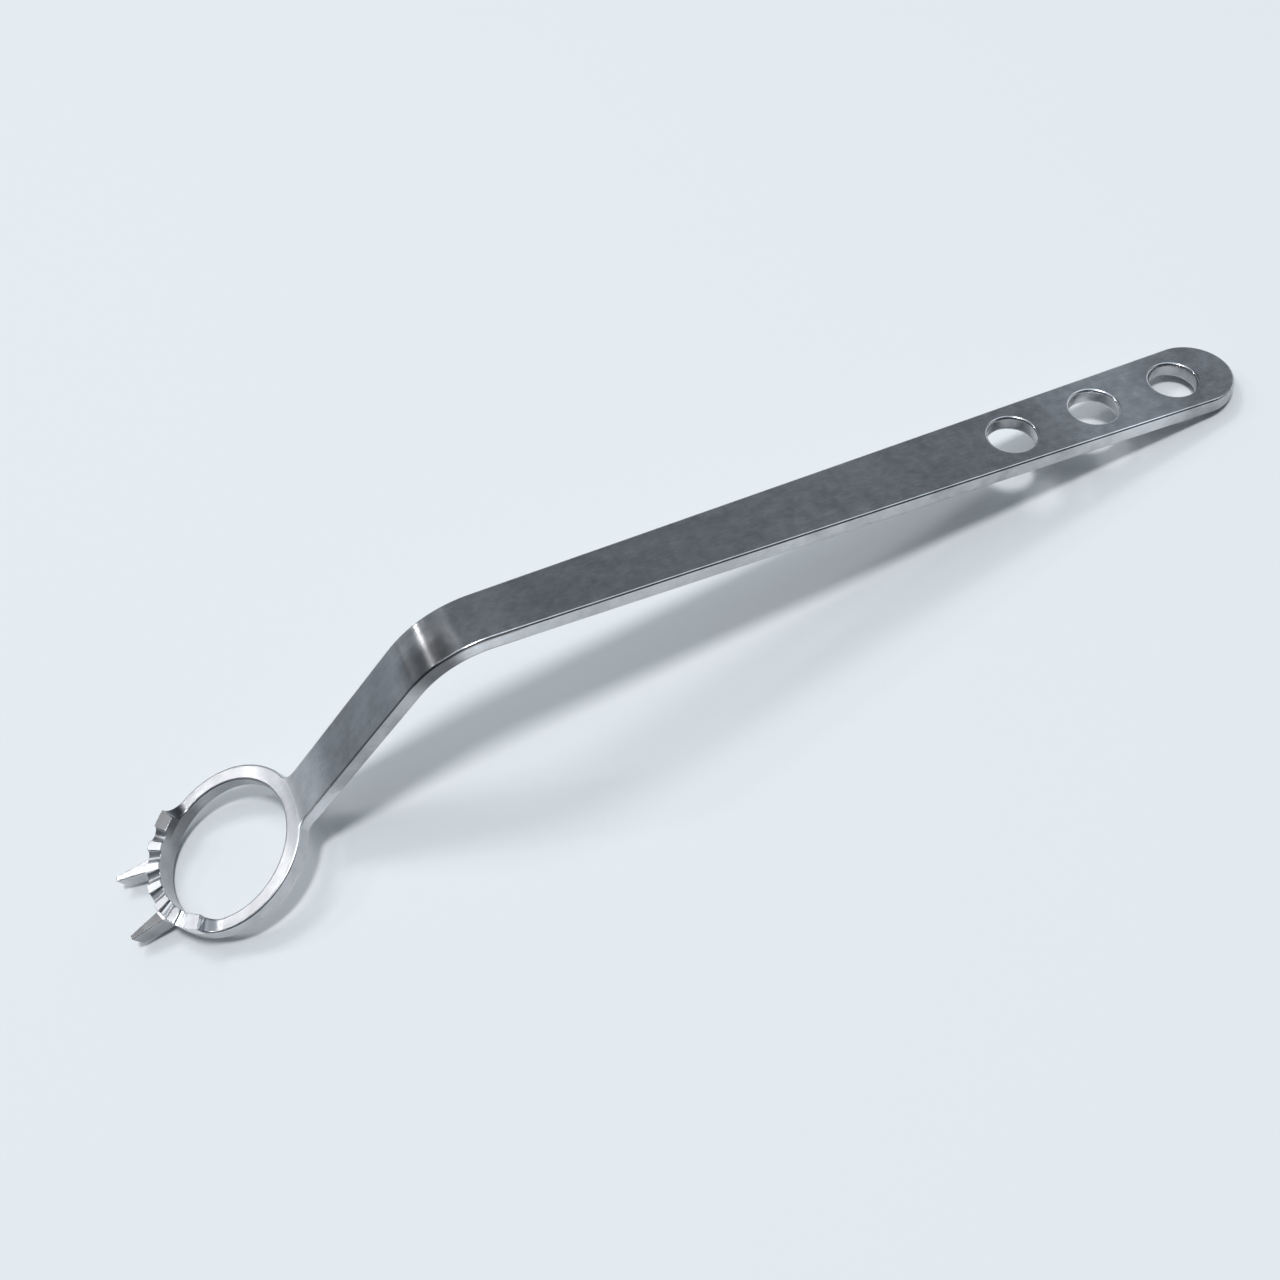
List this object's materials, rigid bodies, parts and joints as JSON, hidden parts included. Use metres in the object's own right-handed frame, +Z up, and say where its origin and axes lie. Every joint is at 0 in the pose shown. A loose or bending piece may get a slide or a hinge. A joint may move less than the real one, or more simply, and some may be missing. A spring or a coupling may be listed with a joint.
{
  "type": "glenoid retractor",
  "caption": "Hand-held bent steel retractor: a tapered flat handle with holes leads to a ring with a serrated raised crown and forward prongs that hold a shoulder socket's rim.",
  "frame": {"origin": "centre of the bounding box in X and Y, on the surface that the retractor rests on", "axes": "+X along the handle from the ring to the round handle end, +Z up with the bend uppermost, XZ is the mirror plane"},
  "size_m": [0.2532, 0.0356, 0.0372],
  "materials": {
    "retractor": "satin, brightest where the ring and crown are polished"
  },
  "bodies": {
    "root": {"retractor": "retractor"}
  },
  "joints": []
}
